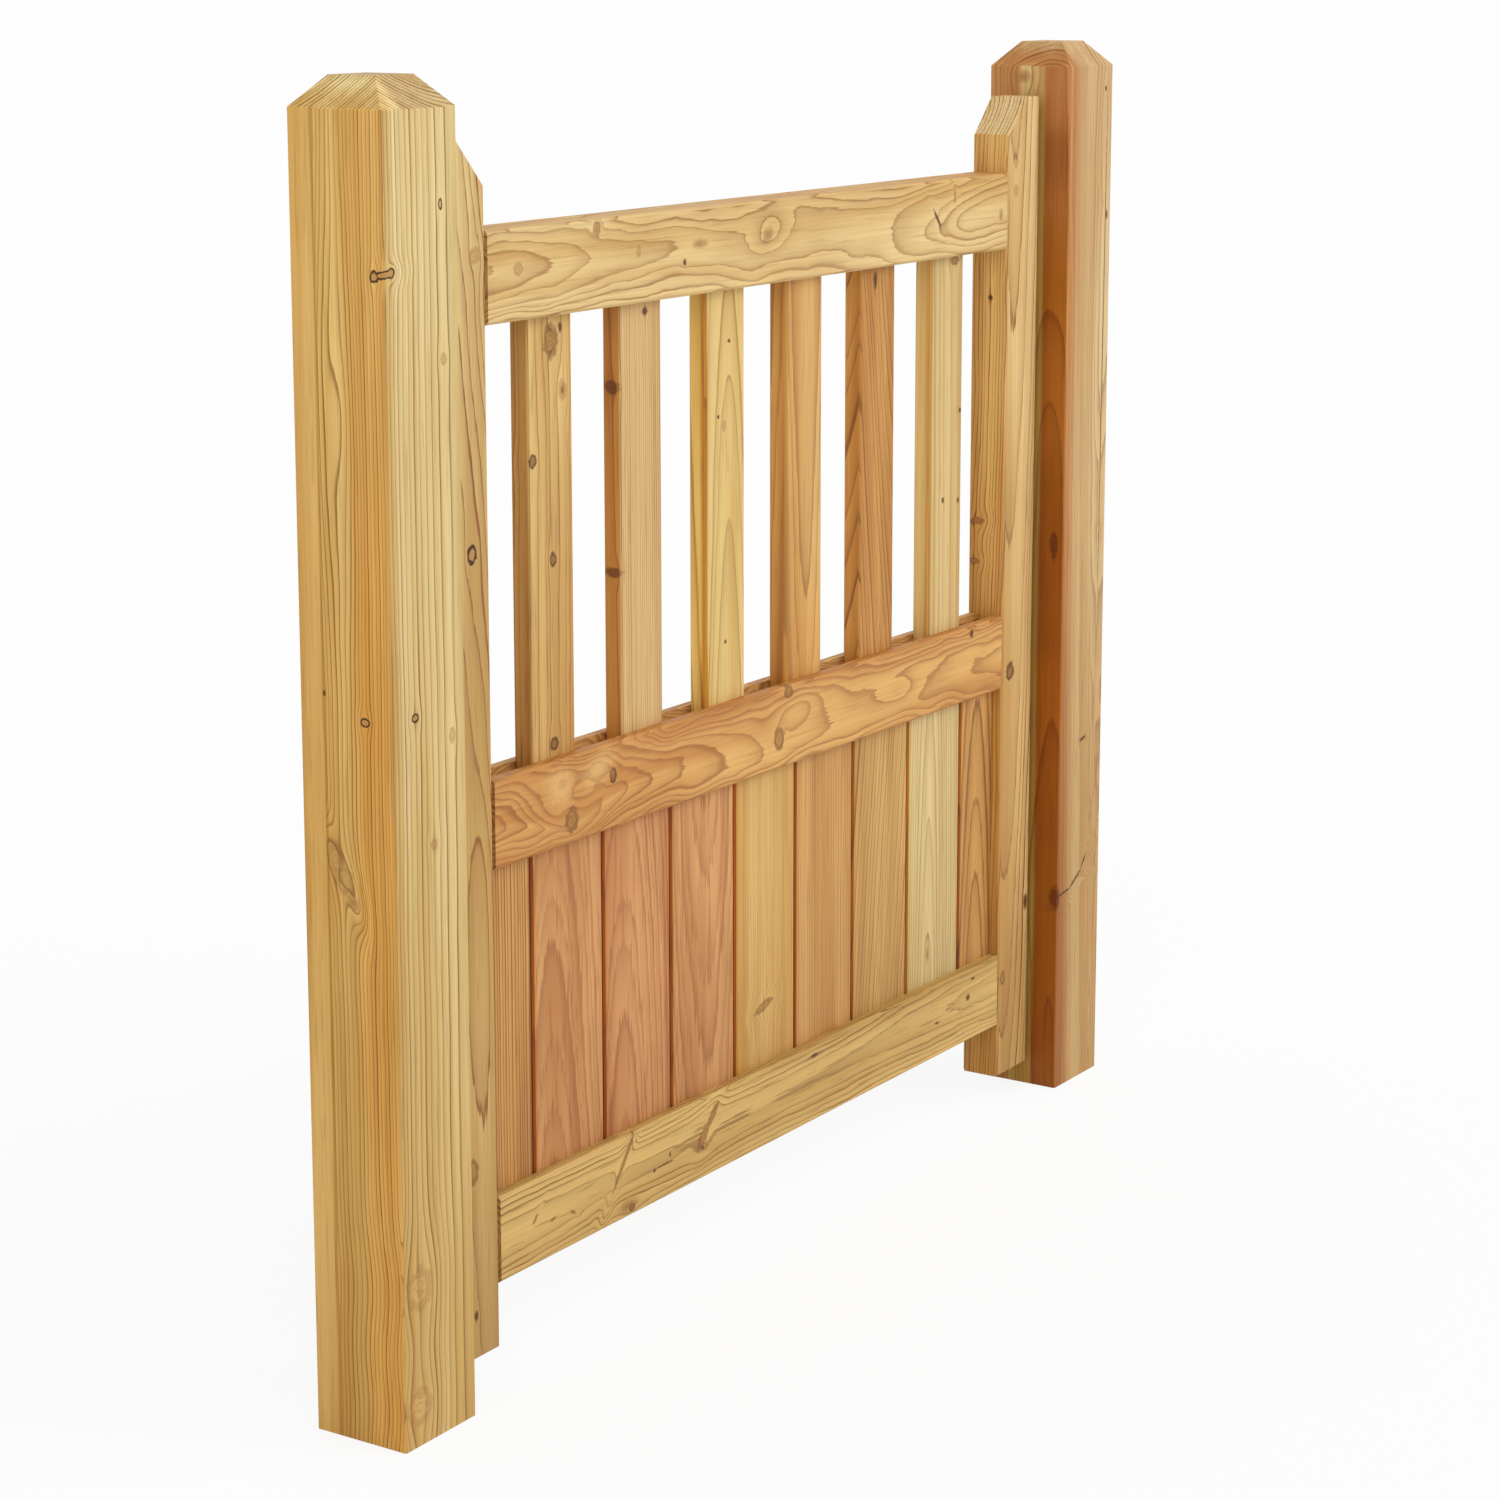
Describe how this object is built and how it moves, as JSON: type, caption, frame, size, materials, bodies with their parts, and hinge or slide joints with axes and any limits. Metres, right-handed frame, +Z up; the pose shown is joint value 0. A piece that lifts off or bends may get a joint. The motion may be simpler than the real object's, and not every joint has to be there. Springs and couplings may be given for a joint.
{
  "type": "garden gate",
  "caption": "Wooden garden gate with slats above and boards below, hung on butt hinges between two square posts with bevelled tops and closed by a sliding bolt.",
  "frame": {"origin": "on the ground, midway between the posts and midway through their depth", "axes": "+X along the gate from the hinge post to the closing post, +Y to the back, where it opens, +Z up"},
  "size_m": [1.289, 0.1, 1.188],
  "materials": {
    "post_larch": "planed, oiled larch",
    "frame_larch": "planed, oiled larch",
    "slat_larch": "planed, oiled larch",
    "board_larch": "planed, oiled larch",
    "wedge_oak": "sawn",
    "hinge_steel": "galvanised",
    "bolt_steel": "galvanised",
    "screw_steel": "plated"
  },
  "bodies": {
    "posts": {"left_post": "post_larch", "right_post": "post_larch", "lower_hinge_post_leaf": "hinge_steel", "upper_hinge_post_leaf": "hinge_steel", "lower_hinge_pin": "hinge_steel", "upper_hinge_pin": "hinge_steel", "post_hinge_screws": "screw_steel", "bolt_keep": "bolt_steel", "keep_screws": "screw_steel"},
    "leaf": {"left_stile": "frame_larch", "right_stile": "frame_larch", "top_rail": "frame_larch", "middle_rail": "frame_larch", "bottom_rail": "frame_larch", "slat_1": "slat_larch", "slat_2": "slat_larch", "slat_3": "slat_larch", "slat_4": "slat_larch", "slat_5": "slat_larch", "slat_6": "slat_larch", "board_1": "board_larch", "board_2": "board_larch", "board_3": "board_larch", "board_4": "board_larch", "board_5": "board_larch", "board_6": "board_larch", "board_7": "board_larch", "board_8": "board_larch", "board_9": "board_larch", "left_tenon_wedges": "wedge_oak", "right_tenon_wedges": "wedge_oak", "lower_hinge_gate_leaf": "hinge_steel", "upper_hinge_gate_leaf": "hinge_steel", "gate_hinge_screws": "screw_steel", "bolt_plate": "bolt_steel", "bolt_plate_screws": "screw_steel"},
    "bolt": {"sliding_bolt": "bolt_steel"}
  },
  "joints": [
    {"name": "leaf_swing", "type": "hinge", "parent": "posts", "child": "leaf", "pos_m": [-0.53945, 0.03105, 0], "axis": [0, 0, 1], "range_deg": [0, 100]},
    {"name": "bolt_slide", "type": "slide", "parent": "leaf", "child": "bolt", "axis": [1, 0, 0], "range_m": [0, 0.026]}
  ]
}
